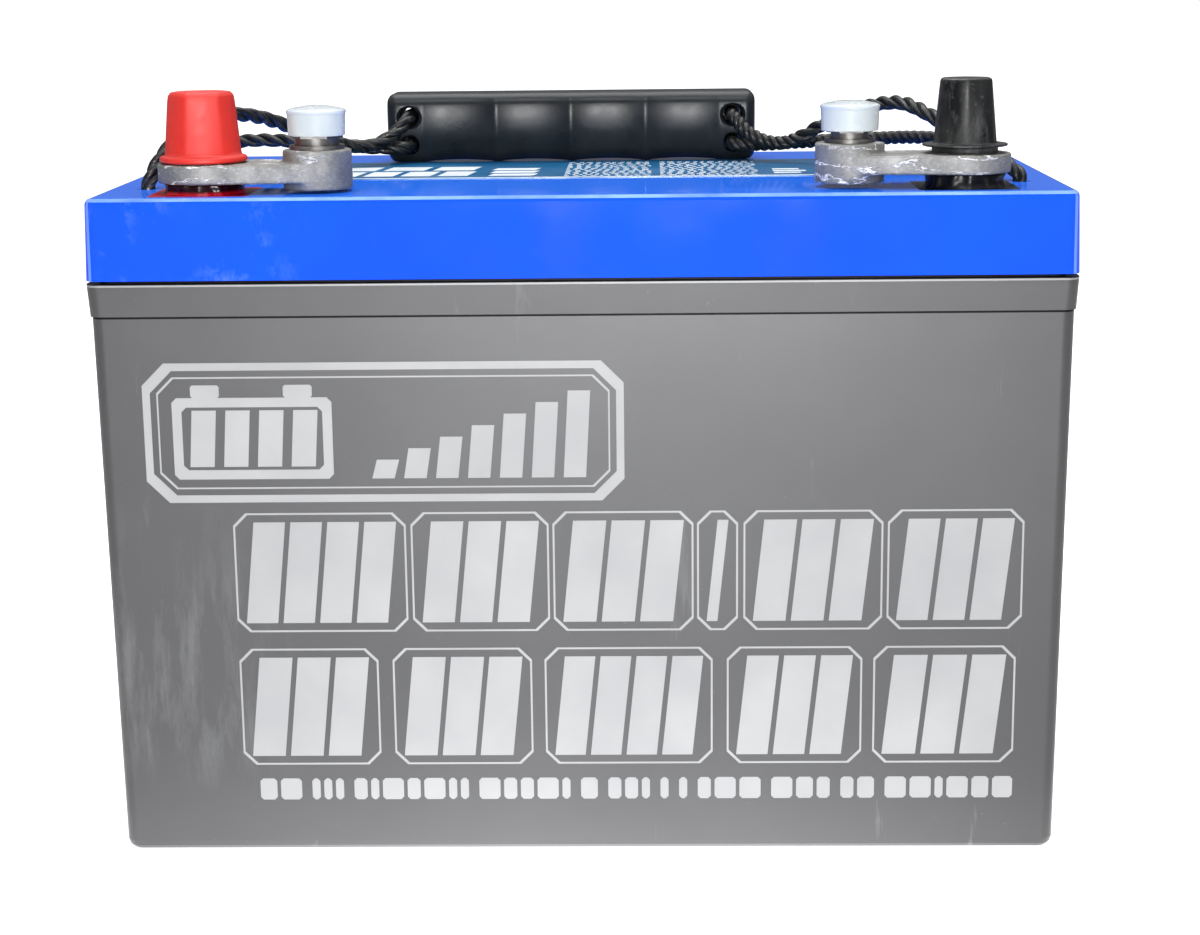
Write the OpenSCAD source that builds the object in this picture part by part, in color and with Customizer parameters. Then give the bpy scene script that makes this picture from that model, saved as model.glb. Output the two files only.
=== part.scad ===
// Deep cycle lead-acid battery, absorbed glass mat type, in the 306 x 169 mm case size, with
// dual post and stud terminals at the front and a rope carrying handle.
// Millimetres. +Z is up, -Y is the front, the origin is under the centre of the base.

/* [Case] */
// Length of the lid, left to right
lid_length = 306; // [300:1:312]
// Depth of the lid, front to back
lid_depth = 169; // [166:1:174]
// Height of the lid's top face above the base
lid_top = 212; // [205:0.1:220]
// Height of the lid's side skirt
lid_skirt = 25.2; // [22:0.1:26]
// How far the lid's sides lean in towards its top
lid_draft = 0.6; // [0:0.1:1]
// How far the case narrows at its foot, each side
case_draft = 1.7; // [0:0.1:2]
// Wall thickness of the case
case_wall = 3.2; // [2.5:0.1:4]
// Height of the thick band round the top of the case
collar_height = 10.2; // [8:0.1:14]
// Radius of the upright corners
corner_radius = 4; // [3:0.5:6]

/* [Terminals] */
// Distance between the two posts
post_spacing = 238; // [237:0.5:239]
// How far the terminals sit to the right of the lid's middle
terminal_shift = 0.6; // [0:0.1:1]
// Distance of the posts from the lid's front edge
post_setback = 22.5; // [22:0.5:23.5]
// Distance from a post to its threaded stud
stud_offset = 35.8; // [34:0.1:38]
// Clear height of the positive lug plate over the lid
lug_gap = 3.2; // [3:0.1:4]
// How much higher the negative lug sits
negative_lift = 1; // [0:0.1:1.2]
// Thickness of the lug plate
lug_thickness = 6.1; // [5:0.1:8]
// Height of the tapered posts above the lug plate
post_height = 16.5; // [15:0.1:18]

/* [Handle] */
// Length of the hand grip
grip_length = 131; // [120:1:135]
// Height of the grip as it lies on the lid
grip_height = 24.5; // [24:0.5:26]
// Thickness of the grip, front to back
grip_depth = 20; // [19:0.5:22]
// How far the grip rests to the left of the middle
grip_shift = 6.5; // [6:0.5:7]
// Diameter of the rope
rope_d = 5; // [4.5:0.1:5.5]

/* [Cells] */
// Positive plates in each cell
plates_per_cell = 7; // [5:1:7]
// Distance from plate to plate
plate_pitch = 3.1; // [3:0.05:3.15]

/* [Hidden] */
$fn = 48;

eps = 0.01;

// Case and lid
lid_bottom = lid_top - lid_skirt;
case_rim = lid_bottom + 3.3;
collar_top = lid_bottom - 1;
collar_bottom = collar_top - collar_height;
collar_flare = 0.6;
body_inset = 1.1;
lid_round = 1.8;
base_round = 3.5;
base_thickness = 4;
spigot_inset = 3.5;
spigot_clearance = 0.3;
lid_wall = 6;
lid_roof = 3;
cells = 6;
partition = 2;
inner_length = lid_length - 2 * (body_inset + case_draft + case_wall);
inner_depth = lid_depth - 2 * (body_inset + case_draft + case_wall);
cell_pitch = (inner_length + partition) / cells;
cell_width = cell_pitch - partition;

// Vent well in the lid, with one valve for each cell
vent_y = 15;
vent_length = 260;
vent_width = 22;
vent_depth = 6;
vent_wall = 2;
vent_cover_thickness = 2.5;
vent_fit = 0.2;
valve_hole_r = 4;

// Rope tunnels under the lid's top, one along each end
rope_x = 139.2;
rope_y = 49;
rope_hole_r = 3.5;
tunnel_width = 14;
tunnel_length = 110;
tunnel_bottom = 18.5;
tunnel_wall = 1.5;

// Terminals
post_x = post_spacing / 2;
post_y = -lid_depth / 2 + post_setback;
post_plate_r = 14.5;
boss_r = 10.9;
lug_step = 0.2;
boss_foot = 0.8;
boss_top = 13.3;
riser_r = 6;
bushing_r = 10;
bushing_length = 13;
seal_size = 31;
seal_column_r = 12;
seal_round = 1.5;
seal_depth = 2;
seat_r = 18;
seat_depth = 16;
positive_stud_r = 4.76;
negative_stud_r = 3.97;
flat_washer_t = 1.2;
thread_fit = 0.05;
nut_cap_r = 8.95;
nut_cap_lip_r = 9.4;
nut_cap_wall = 0.6;
nut_cap_top = 25.6;
nut_cap_bottom = 17.4;
nut_cap_dome = 1.2;
stud_top = 25;

// Handle, lying on the lid behind the label
grip_front = 39.5;
grip_x = -grip_shift;
grip_round = 3;
rope_hole_inset = 8;
grip_hole_r = 3.45;
grip_hole_low = 6.4;
grip_hole_high = 16.4;
knot_r = 5.5;

// Label on the lid
label_length = 180;
label_front = -23;
label_back = 44;
label_thickness = 0.25;
grip_bottom = lid_top + label_thickness + 0.05;

// Cell elements
plate_height = 150;
plate_depth = 152;
plate_foot = 7;
positive_plate_t = 1.9;
negative_plate_t = 1.5;
separator_t = 1.3;
separator_height = 158;
separator_depth = 156;
tab_y = 56;
tab_width = 12;
tab_height = 12;
strap_width = 45;
strap_depth = 22;
strap_thickness = 6;
strap_z = plate_foot + plate_height + tab_height;
weld_r = 2.8;

// Route of the left rope: from the knot forward through the grip's upper hole, over to the front
// hole in the lid, along the tunnel, up through the rear hole and back to the grip's lower hole.
// Heights are from the lid's top face.
ROUTE_LEFT = [
    [-64, 59.4, 16.4], [-64, 43.5, 16.4], [-64.1, 39.9, 16.2],
    [-65.4, 37.4, 14.8], [-67.4, 35.2, 12.4], [-71, 32.6, 9.6], [-76, 29.6, 7.5],
    [-82, 24.8, 7.6], [-88.5, 17, 9.6], [-95, 8.5, 13], [-102, -0.5, 16.8], [-109, -9.5, 20],
    [-116, -19, 21.6], [-122.5, -28, 20.8], [-128, -35.6, 18], [-132, -41, 14], [-135.2, -45, 9.6],
    [-137.6, -47.8, 5], [-139, -49, 0.5], [-139.2, -49, -4], [-139.2, -46.5, -10.5],
    [-139.2, -39.5, -14.6], [-139.2, -29, -15.5], [-139.2, 29, -15.5],
    [-139.2, 39.5, -14.6], [-139.2, 46.5, -10.5], [-139.2, 49, -4], [-139, 49, 1.5], [-136, 49, 6],
    [-120, 48, 8.4], [-99, 43.6, 7.6], [-88.5, 40.6, 6.8],
    [-80, 38.4, 6.3], [-75, 37, 6.1], [-71, 36.3, 6.1], [-67.6, 36.4, 6.1], [-65.2, 37.8, 6.3],
    [-64.1, 40.4, 6.4], [-64, 59.4, 6.4]];

// Route of the right rope, the same way round
ROUTE_RIGHT = [
    [51, 59.4, 16.4], [51, 43.5, 16.4], [51.1, 39.9, 16.2], [52.4, 37.4, 14.8],
    [54.4, 35.2, 12.2], [58, 32.8, 9.4], [63, 30.8, 7.4], [69, 28.6, 7.2], [75.5, 25, 10],
    [81, 21, 13.6], [87, 16, 16.8], [93.5, 10, 19.8], [100, 3, 21.9], [106.5, -5, 22.3],
    [113, -14, 19.6], [119, -22, 15.6], [125, -31, 10.8], [131, -39, 7],
    [136, -45.4, 4.8], [138.7, -48.5, 1.9], [139.2, -49, -1], [139.2, -49, -5],
    [139.2, -46.5, -10.5], [139.2, -39.5, -14.6], [139.2, -29, -15.5],
    [139.2, 29, -15.5], [139.2, 39.5, -14.6], [139.2, 46.5, -10.5], [139.2, 49, -4],
    [139, 49, 1.5], [136, 49, 5], [118, 48, 7.2], [94, 43.4, 7],
    [73, 39.4, 6.5], [67, 38, 6.2], [62.5, 36.9, 6.1], [58.5, 36.3, 6.1],
    [54.6, 36.4, 6.1], [52.2, 37.8, 6.3], [51.1, 40.4, 6.4], [51, 59.4, 6.4]];

// A flat rectangle with true round corners, centred on the origin
module rounded_rectangle(length, depth, r) {
    square([length - 2 * r, depth], center = true);
    square([length, depth - 2 * r], center = true);
    for (x = [-1, 1], y = [-1, 1])
        translate([x * (length / 2 - r), y * (depth / 2 - r)]) circle(r);
}

// A slab of that rectangle, drawn in from the lid's outline by inset
module slab(inset, z, height, r = corner_radius) {
    translate([0, 0, z])
        linear_extrude(height)
            rounded_rectangle(lid_length - 2 * inset, lid_depth - 2 * inset, r);
}

module box(length, depth, z_low, z_high, x = 0, y = 0) {
    translate([x - length / 2, y - depth / 2, z_low]) cube([length, depth, z_high - z_low]);
}

module tube(r_out, r_in, z_low, z_high) {
    translate([0, 0, z_low])
        difference() {
            cylinder(r = r_out, h = z_high - z_low);
            translate([0, 0, -1]) cylinder(r = r_in, h = z_high - z_low + 2);
        }
}

function cell_x(i) = (i - (cells + 1) / 2) * cell_pitch;
// Cells alternate, so that each cell's negative strap faces its neighbour's positive one
function positive_side(i) = i % 2 == 1 ? -1 : 1;

// Case ------------------------------------------------------------------------------------

// The tapered box, rounded where its sides meet the base
module case_body() {
    foot = body_inset + case_draft;
    hull() {
        slab(body_inset, collar_bottom, eps);
        slab(foot, base_round, eps);
        slab(foot + base_round * (1 - cos(30)), base_round * (1 - sin(30)), eps);
        slab(foot + base_round * (1 - cos(60)), base_round * (1 - sin(60)), eps, 3);
        slab(foot + base_round, 0, eps, 2);
    }
}

// The flared band under the lid
module collar() {
    hull() {
        slab(collar_flare, collar_bottom, eps);
        slab(0, collar_top - eps, eps);
    }
}

module case() color([0.5, 0.505, 0.515])
    difference() {
        union() {
            case_body();
            collar();
            slab(spigot_inset, collar_top - 1, case_rim - collar_top + 1, 3);
        }
        for (i = [1 : cells])
            box(cell_width, inner_depth, base_thickness, case_rim + 1, cell_x(i));
        for (i = [1 : cells - 1])
            translate([cell_x(i) + cell_pitch / 2, -positive_side(i) * tab_y, strap_z + strap_thickness / 2])
                rotate([0, 90, 0]) cylinder(r = weld_r, h = partition + 1, center = true);
    }

// Lid -------------------------------------------------------------------------------------

module lid_cavity() {
    roof = lid_top - lid_roof;
    slab(spigot_inset - spigot_clearance, lid_bottom - 1, case_rim - lid_bottom + 1, 3);
    difference() {
        slab(lid_wall, case_rim - eps, roof - case_rim + eps, 2);
        box(vent_length + 2 * vent_wall, vent_width + 2 * vent_wall,
            lid_top - vent_depth - vent_wall, lid_top, 0, vent_y);
        for (side = [-1, 1]) {
            box(tunnel_width + 2 * tunnel_wall, tunnel_length + 2 * tunnel_wall,
                lid_top - tunnel_bottom - tunnel_wall, lid_top, side * rope_x);
            at_terminal(side) translate([0, 0, -seat_depth]) cylinder(r = seat_r, h = seat_depth);
        }
        for (i = [1 : cells - 1])
            box(partition, lid_depth - 2 * lid_wall + 1, case_rim - eps, lid_top,
                cell_x(i) + cell_pitch / 2);
    }
}

// The outer form, with sides that lean in a little and a rounded top edge
module lid_shell() {
    hull() {
        slab(0, lid_bottom, eps);
        slab(lid_draft, lid_top - lid_round, eps);
        slab(lid_draft + lid_round * (1 - cos(30)), lid_top - lid_round * (1 - sin(30)), eps);
        slab(lid_draft + lid_round * (1 - cos(60)), lid_top - lid_round * (1 - sin(60)), eps, 3.2);
        slab(lid_draft + lid_round, lid_top - eps, eps, 2.4);
    }
}

module lid() color([0.06, 0.28, 0.92])
    difference() {
        lid_shell();
        lid_cavity();
        box(vent_length, vent_width, lid_top - vent_depth, lid_top + 1, 0, vent_y);
        for (i = [1 : cells])
            translate([cell_x(i), vent_y, lid_top - vent_depth - vent_wall - 1])
                cylinder(r = valve_hole_r, h = vent_wall + 2);
        for (side = [-1, 1]) {
            box(tunnel_width, tunnel_length, lid_top - tunnel_bottom, lid_top - lid_roof, side * rope_x);
            for (end = [-1, 1])
                translate([side * rope_x, end * rope_y, lid_top - lid_roof - 1])
                    cylinder(r = rope_hole_r, h = lid_roof + 2);
            at_terminal(side) {
                translate([0, 0, -seal_depth]) linear_extrude(seal_depth + 1) seal_outline(0);
                translate([0, 0, -seat_depth - 1]) cylinder(r = bushing_r, h = seat_depth + 2);
            }
        }
    }

module vent_cover() color([0.05, 0.24, 0.8])
    box(vent_length - 2 * vent_fit, vent_width - 2 * vent_fit,
        lid_top - vent_cover_thickness, lid_top, 0, vent_y);

// Six rubber one-way valves, each a head over the hole and a stem through it
module vent_valves() color([0.12, 0.12, 0.12])
    for (i = [1 : cells])
        translate([cell_x(i), vent_y, lid_top - vent_depth])
            rotate_extrude()
                polygon([
                    [0, -3.6], [3, -3.6], [3.8, -2.6], [3.8, 0], [6.2, 0], [5.9, 1.4], [4, 2.4], [0, 2.6]]);

module top_label() color([0.14, 0.45, 0.62])
    box(label_length, label_back - label_front, lid_top, lid_top + label_thickness,
        0, (label_front + label_back) / 2);

// Terminals -------------------------------------------------------------------------------

// Each terminal is drawn in the positive one's place, and the negative one is its mirror image
module at_terminal(side) {
    translate([terminal_shift, 0, lid_top])
        mirror([side > 0 ? 1 : 0, 0, 0]) translate([-post_x, post_y, 0]) children();
}

function lift(side) = side > 0 ? negative_lift : 0;
function stud_lift(side) = lift(side) / 2;
function plate_bottom(side) = lug_gap + lift(side);
function plate_top(side) = plate_bottom(side) + lug_thickness;

module bushing(side)
    at_terminal(side)
        tube(bushing_r - eps, riser_r + 0.1, -seal_depth - bushing_length, -seal_depth);

module riser(side)
    at_terminal(side) {
        foot = strap_z + strap_thickness - lid_top;
        translate([0, 0, foot]) cylinder(r = riser_r, h = plate_bottom(side) - foot);
    }

module seal_outline(gap) {
    size = seal_size - 2 * gap;
    square([size - 2 * seal_round, size], center = true);
    square([size, size - 2 * seal_round], center = true);
    for (x = [-1, 1], y = [-1, 1])
        translate([x, y] * (size / 2 - seal_round)) circle(seal_round);
}

// Epoxy poured round the terminal, flush with the lid, and the column that it forms under the lug
module seal(side)
    at_terminal(side)
        difference() {
            union() {
                translate([0, 0, -seal_depth]) linear_extrude(seal_depth) seal_outline(eps);
                translate([0, 0, -eps]) cylinder(r = seal_column_r, h = plate_bottom(side) + eps);
            }
            translate([0, 0, -seal_depth - 1])
                cylinder(r = riser_r + eps, h = seal_depth + plate_bottom(side) + 2);
        }

// Outline of the plate: a round end under the post, and sides that run in to the stud's boss
module lug_outline() {
    circle(post_plate_r);
    polygon([
        [0, post_plate_r - lug_step], [stud_offset, boss_r - lug_step],
        [stud_offset, -boss_r + lug_step], [0, -post_plate_r + lug_step]]);
}

module lug(side, post_r_low, post_r_high, stud_r)
    at_terminal(side) {
        translate([0, 0, plate_top(side) - eps])
            cylinder(r1 = post_r_low, r2 = post_r_high, h = post_height + eps);
        difference() {
            union() {
                translate([0, 0, plate_bottom(side)]) linear_extrude(lug_thickness) lug_outline();
                translate([stud_offset, 0, boss_foot + stud_lift(side)])
                    cylinder(r = boss_r, h = boss_top - boss_foot);
            }
            translate([stud_offset, 0, boss_foot + 1.5])
                cylinder(r = stud_r, h = boss_top);
        }
    }

module at_stud(side) {
    at_terminal(side) translate([stud_offset, 0, stud_lift(side)]) children();
}

module stud(side, stud_r)
    at_stud(side) {
        foot = boss_foot + 1.5 - stud_lift(side);
        tip = stud_top - stud_lift(side);
        translate([0, 0, foot]) cylinder(r = stud_r, h = tip - 0.9 - foot);
        translate([0, 0, tip - 0.9]) cylinder(r1 = stud_r, r2 = stud_r - 0.9, h = 0.9);
    }

module flat_washer(side, stud_r, r)
    at_stud(side) tube(r, stud_r + 0.3, boss_top, boss_top + flat_washer_t);

// A split spring washer
module lock_washer(side, stud_r, r, thickness)
    at_stud(side)
        difference() {
            tube(r, stud_r + 0.2, boss_top + flat_washer_t, boss_top + flat_washer_t + thickness);
            rotate([0, 0, 60]) translate([0, -0.6, boss_top]) cube([r + 1, 1.2, 6]);
        }

module nut(side, stud_r, across_flats, washer_t, height)
    at_stud(side) {
        low = boss_top + flat_washer_t + washer_t;
        translate([0, 0, low])
            difference() {
                intersection() {
                    cylinder(r = across_flats / 2 / cos(30), h = height, $fn = 6);
                    translate([0, 0, -3])
                        cylinder(r1 = across_flats / 2 + 4.5, r2 = across_flats / 2 - 1.1, h = height + 4.6);
                }
                translate([0, 0, -1]) cylinder(r = stud_r + thread_fit, h = height + 2);
            }
    }

// Soft see-through cap pushed over the nut, with a lip round its domed top
module nut_cap(side)
    at_terminal(side) translate([stud_offset, 0, 0])
        rotate_extrude()
            polygon([
                [0, nut_cap_top + nut_cap_dome], [4, nut_cap_top + 0.85 * nut_cap_dome],
                [7, nut_cap_top + 0.4 * nut_cap_dome], [nut_cap_lip_r - 0.7, nut_cap_top],
                [nut_cap_lip_r, nut_cap_top - 0.4], [nut_cap_lip_r, nut_cap_top - 1.2],
                [nut_cap_r + 0.2, nut_cap_top - 1.6], [nut_cap_r, nut_cap_bottom],
                [nut_cap_r - nut_cap_wall, nut_cap_bottom], [nut_cap_r - nut_cap_wall, nut_cap_top - 0.9],
                [7, nut_cap_top - 0.4], [4, nut_cap_top + 0.1], [0, nut_cap_top + 0.2]]);

// Hollow vinyl caps that pull off the posts, drawn up from the lug's top face: the positive one
// flares out at its foot and the negative one has a flat flange over a short collar
module positive_post_cap() color([0.94, 0.3, 0.28])
    at_terminal(-1) translate([0, 0, plate_top(-1)])
        rotate_extrude()
            polygon([
                [0, 22.1], [8.9, 22.1], [10.2, 21.2], [10.5, 18.9], [11.9, 2.9], [12.3, 2.1],
                [13.7, 1.2], [13.7, 0.5], [12.8, 0.2], [10.7, 0.2], [10.4, 3], [9.3, 20.7], [0, 20.7]]);

module negative_post_cap() color([0.08, 0.08, 0.08])
    at_terminal(1) translate([0, 0, plate_top(1)])
        rotate_extrude()
            polygon([
                [0, 23], [7.9, 23], [8.7, 22.3], [9.8, 3.1], [13.2, 2.9], [13.2, 2], [10.2, 1.9],
                [10.3, 0.2], [9.2, 0.2], [8.95, 2], [8.05, 18], [7.5, 21.7], [0, 21.7]]);

// Handle ----------------------------------------------------------------------------------

module handle_grip() color([0.09, 0.09, 0.1])
    difference() {
        hull()
            for (x = [-1, 1], y = [0, 1], z = [0, 1])
                translate([
                    grip_x + x * (grip_length / 2 - grip_round),
                    grip_front + grip_round + y * (grip_depth - 2 * grip_round),
                    grip_bottom + grip_round + z * (grip_height - 2 * grip_round)])
                    sphere(grip_round, $fn = 24);
        for (x = [-1, 1], z = [grip_hole_low, grip_hole_high])
            translate([grip_x + x * (grip_length / 2 - rope_hole_inset), grip_front - 1, lid_top + z])
                rotate([-90, 0, 0]) cylinder(r = grip_hole_r, h = grip_depth + 2);
    }

// The knot behind the grip that joins one rope's two ends
module rope_knot(side) color([0.1, 0.1, 0.1]) {
    x = grip_x + side * (grip_length / 2 - rope_hole_inset);
    y = grip_front + grip_depth + knot_r + 0.1;
    translate([x, y, lid_top + grip_hole_low]) {
        sphere(knot_r);
        cylinder(r = knot_r, h = grip_hole_high - grip_hole_low);
        translate([0, 0, grip_hole_high - grip_hole_low]) sphere(knot_r);
    }
}

function unit(v) = v / norm(v);
// Direction of a route at its point i
function heading(route, i) =
    unit(route[min(i + 1, len(route) - 1)] - route[max(i - 1, 0)]);
// A vector square to each heading, carried along the route so that the tube doesn't twist
function carried(route, i) =
    i == 0 ? unit(cross(heading(route, 0), [1, 0, 0.2]))
           : let (previous = carried(route, i - 1), t = heading(route, i))
             unit(previous - (previous * t) * t);

// A round tube swept along a route, as one closed polyhedron
module swept_tube(route, r, sides = 10) {
    rings = len(route);
    points = [
        for (i = [0 : rings - 1])
            let (t = heading(route, i), u = carried(route, i), v = cross(t, u))
            for (k = [0 : sides - 1])
                route[i] + r * (cos(360 * k / sides) * u + sin(360 * k / sides) * v)];
    walls = [
        for (i = [0 : rings - 2], k = [0 : sides - 1])
            let (next = (k + 1) % sides)
            each [
                [i * sides + k, i * sides + next, (i + 1) * sides + next],
                [i * sides + k, (i + 1) * sides + next, (i + 1) * sides + k]]];
    first = [for (k = [sides - 1 : -1 : 0]) k];
    last = [for (k = [0 : sides - 1]) (rings - 1) * sides + k];
    polyhedron(points, concat([first], walls, [last]));
}

module rope(route) color([0.1, 0.1, 0.1])
    translate([0, 0, lid_top]) swept_tube(route, rope_d / 2);

// Cells -----------------------------------------------------------------------------------

// One polarity's plates in cell i: every second place in the stack, each with its tab
module plates(i, thickness, first, count, side) {
    for (k = [0 : count - 1])
        translate([cell_x(i) + (first + 2 * k - plates_per_cell) * plate_pitch, 0, 0]) {
            box(thickness, plate_depth, plate_foot, plate_foot + plate_height);
            box(thickness, tab_width, plate_foot + plate_height - eps, strap_z, 0, side * tab_y);
        }
}

module positive_plates(i) color([0.35, 0.2, 0.14])
    plates(i, positive_plate_t, 1, plates_per_cell, positive_side(i));

module negative_plates(i) color([0.5, 0.52, 0.54])
    plates(i, negative_plate_t, 0, plates_per_cell + 1, -positive_side(i));

module separators(i) color([0.93, 0.93, 0.9])
    for (k = [0 : 2 * plates_per_cell - 1])
        box(separator_t, separator_depth, base_thickness, base_thickness + separator_height,
            cell_x(i) + (k + 0.5 - plates_per_cell) * plate_pitch + (k % 2 == 0 ? -0.1 : 0.1));

module straps(polarity) color([0.6, 0.61, 0.63])
    for (i = [1 : cells])
        box(strap_width, strap_depth, strap_z, strap_z + strap_thickness,
            cell_x(i), polarity * positive_side(i) * tab_y);

// The lead that joins neighbouring cells' straps through the partitions
module intercell_welds() color([0.6, 0.61, 0.63])
    for (i = [1 : cells - 1])
        translate([cell_x(i) + cell_pitch / 2, -positive_side(i) * tab_y, strap_z + strap_thickness / 2])
            rotate([0, 90, 0]) cylinder(r = weld_r - eps, h = cell_pitch - strap_width, center = true);

LEAD = [0.6, 0.61, 0.63];
STEEL = [0.75, 0.75, 0.77];

case();
lid();
vent_cover();
vent_valves();
top_label();
color(LEAD) bushing(-1);  // positive_bushing
color(LEAD) riser(-1);  // positive_riser
color([0.5, 0.02, 0.05]) seal(-1);  // positive_seal
color(LEAD) lug(-1, 9.6, 8.75, positive_stud_r);  // positive_lug
color(STEEL) stud(-1, positive_stud_r);  // positive_stud
color(STEEL) flat_washer(-1, positive_stud_r, 8.6);  // positive_flat_washer
color(STEEL) lock_washer(-1, positive_stud_r, 7, 2.2);  // positive_lock_washer
color(STEEL) nut(-1, positive_stud_r, 14.29, 2.2, 7.3);  // positive_nut
color([0.85, 0.88, 0.95, 0.5]) nut_cap(-1);  // positive_nut_cap
positive_post_cap();
color(LEAD) bushing(1);  // negative_bushing
color(LEAD) riser(1);  // negative_riser
color([0.04, 0.04, 0.05]) seal(1);  // negative_seal
color(LEAD) lug(1, 8.8, 7.95, negative_stud_r);  // negative_lug
color(STEEL) stud(1, negative_stud_r);  // negative_stud
color(STEEL) flat_washer(1, negative_stud_r, 7.9);  // negative_flat_washer
color(STEEL) lock_washer(1, negative_stud_r, 5.9, 1.9);  // negative_lock_washer
color(STEEL) nut(1, negative_stud_r, 12.7, 1.9, 6.5);  // negative_nut
color([0.85, 0.88, 0.95, 0.5]) nut_cap(1);  // negative_nut_cap
negative_post_cap();
handle_grip();
rope(ROUTE_LEFT);  // rope_left
rope(ROUTE_RIGHT);  // rope_right
rope_knot(-1);  // rope_knot_left
rope_knot(1);  // rope_knot_right
straps(1);  // positive_straps
straps(-1);  // negative_straps
intercell_welds();
for (i = [1 : cells]) {
    positive_plates(i);
    negative_plates(i);
    separators(i);
}
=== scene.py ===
import math
import random

import bmesh
import bpy
from mathutils import Matrix, Vector, noise


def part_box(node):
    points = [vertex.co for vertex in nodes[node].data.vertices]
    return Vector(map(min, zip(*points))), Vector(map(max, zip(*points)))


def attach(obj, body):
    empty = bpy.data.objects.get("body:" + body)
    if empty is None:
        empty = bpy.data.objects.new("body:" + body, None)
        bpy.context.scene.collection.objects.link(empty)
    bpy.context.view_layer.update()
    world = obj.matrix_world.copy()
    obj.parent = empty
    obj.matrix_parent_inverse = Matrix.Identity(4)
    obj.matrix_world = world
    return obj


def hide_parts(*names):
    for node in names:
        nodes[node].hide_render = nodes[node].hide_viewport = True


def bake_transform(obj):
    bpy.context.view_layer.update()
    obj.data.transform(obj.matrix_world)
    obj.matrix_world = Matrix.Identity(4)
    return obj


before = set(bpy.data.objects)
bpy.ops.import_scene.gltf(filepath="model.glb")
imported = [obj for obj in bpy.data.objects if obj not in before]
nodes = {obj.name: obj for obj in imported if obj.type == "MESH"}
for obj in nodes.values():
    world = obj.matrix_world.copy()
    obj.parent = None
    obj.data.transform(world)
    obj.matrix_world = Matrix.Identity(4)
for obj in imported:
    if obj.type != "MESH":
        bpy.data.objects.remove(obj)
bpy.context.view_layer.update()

MM = 0.001
LID_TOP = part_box("lid")[1].z
LID_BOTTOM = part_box("lid")[0].z
LID_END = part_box("lid")[1].x
LID_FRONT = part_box("lid")[0].y
COLLAR_LOW = LID_BOTTOM - 11.2 * MM   # lower edge of the thick band round the top of the case

# Camera ----------------------------------------------------------------------------------

CAMERA_AT = (0.02148, -0.79064, 0.27881)
CAMERA_PITCH = 12.10  # degrees below the horizon
CAMERA_YAW = 1.304    # degrees to the left
CAMERA_ROLL = -0.634
CAMERA_LENS = 69.54   # on a 36 mm wide sensor


def place_camera():
    data = bpy.data.cameras.new("camera")
    data.lens = CAMERA_LENS
    data.sensor_width = 36
    data.sensor_fit = "HORIZONTAL"
    data.clip_start = 0.01
    camera = bpy.data.objects.new("camera", data)
    bpy.context.scene.collection.objects.link(camera)
    turn = (Matrix.Rotation(math.radians(CAMERA_YAW), 4, "Z")
            @ Matrix.Rotation(math.radians(90 - CAMERA_PITCH), 4, "X")
            @ Matrix.Rotation(math.radians(CAMERA_ROLL), 4, "Z"))
    camera.matrix_world = Matrix.Translation(CAMERA_AT) @ turn
    bpy.context.scene.camera = camera


place_camera()


# Mesh helpers ----------------------------------------------------------------------------

def new_object(name, verts, faces, smooth=True, uvs=None):
    mesh = bpy.data.meshes.new(name)
    mesh.from_pydata([tuple(v) for v in verts], [], faces)
    if uvs:
        layer = mesh.uv_layers.new(name="UVMap")
        for loop, uv in zip(layer.data, uvs):
            loop.uv = uv
    mesh.validate()
    obj = bpy.data.objects.new(name, mesh)
    bpy.context.scene.collection.objects.link(obj)
    tidy_normals(obj)
    if smooth:
        shade_smooth(obj)
    return obj


def tidy_normals(obj):
    bm = bmesh.new()
    bm.from_mesh(obj.data)
    bmesh.ops.recalc_face_normals(bm, faces=bm.faces)
    bm.to_mesh(obj.data)
    bm.free()


def shade_smooth(obj, angle=35):
    obj.data.shade_smooth()
    obj.data.set_sharp_from_angle(angle=math.radians(angle))


def baked(obj, name):
    """A plain mesh object that holds obj with its modifiers applied."""
    bpy.context.view_layer.update()
    graph = bpy.context.evaluated_depsgraph_get()
    mesh = bpy.data.meshes.new_from_object(obj.evaluated_get(graph))
    result = bpy.data.objects.new(name, mesh)
    bpy.context.scene.collection.objects.link(result)
    result.matrix_world = obj.matrix_world
    bpy.data.objects.remove(obj)
    return result


def copy_of(node, name):
    obj = bpy.data.objects.new(name, nodes[node].data.copy())
    bpy.context.scene.collection.objects.link(obj)
    return obj


def lathe(profile, sides, centre, scale=None, phase=0.0):
    """Vertices and faces of a profile of (radius, height) in mm, turned about a vertical axis."""
    verts, faces, rings = [], [], []
    for r, z in profile:
        if r < 1e-6:
            rings.append([len(verts)])
            verts.append(Vector(centre) + Vector((0, 0, z)) * MM)
            continue
        ring = []
        for k in range(sides):
            a = 2 * math.pi * k / sides + phase
            s = scale(a, z) if scale else 1
            ring.append(len(verts))
            verts.append(Vector(centre) + Vector((r * s * math.cos(a), r * s * math.sin(a), z)) * MM)
        rings.append(ring)
    for low, high in zip(rings, rings[1:]):
        for k in range(sides):
            n = (k + 1) % sides
            if len(low) == 1:
                faces.append((low[0], high[k], high[n]))
            elif len(high) == 1:
                faces.append((low[k], low[n], high[0]))
            else:
                faces.append((low[k], low[n], high[n], high[k]))
    return verts, faces


def finish_piece(obj, body, material, slot, *replaced):
    obj.data.materials.clear()
    obj.data.materials.append(material)
    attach(obj, body)
    if replaced:
        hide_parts(*replaced)
    return obj


# Materials -------------------------------------------------------------------------------

def srgb(r, g, b):
    """Linear colour from 0 to 255 display values."""
    def linear(c):
        c /= 255
        return c / 12.92 if c <= 0.04045 else ((c + 0.055) / 1.055) ** 2.4
    return (linear(r), linear(g), linear(b), 1)


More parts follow.
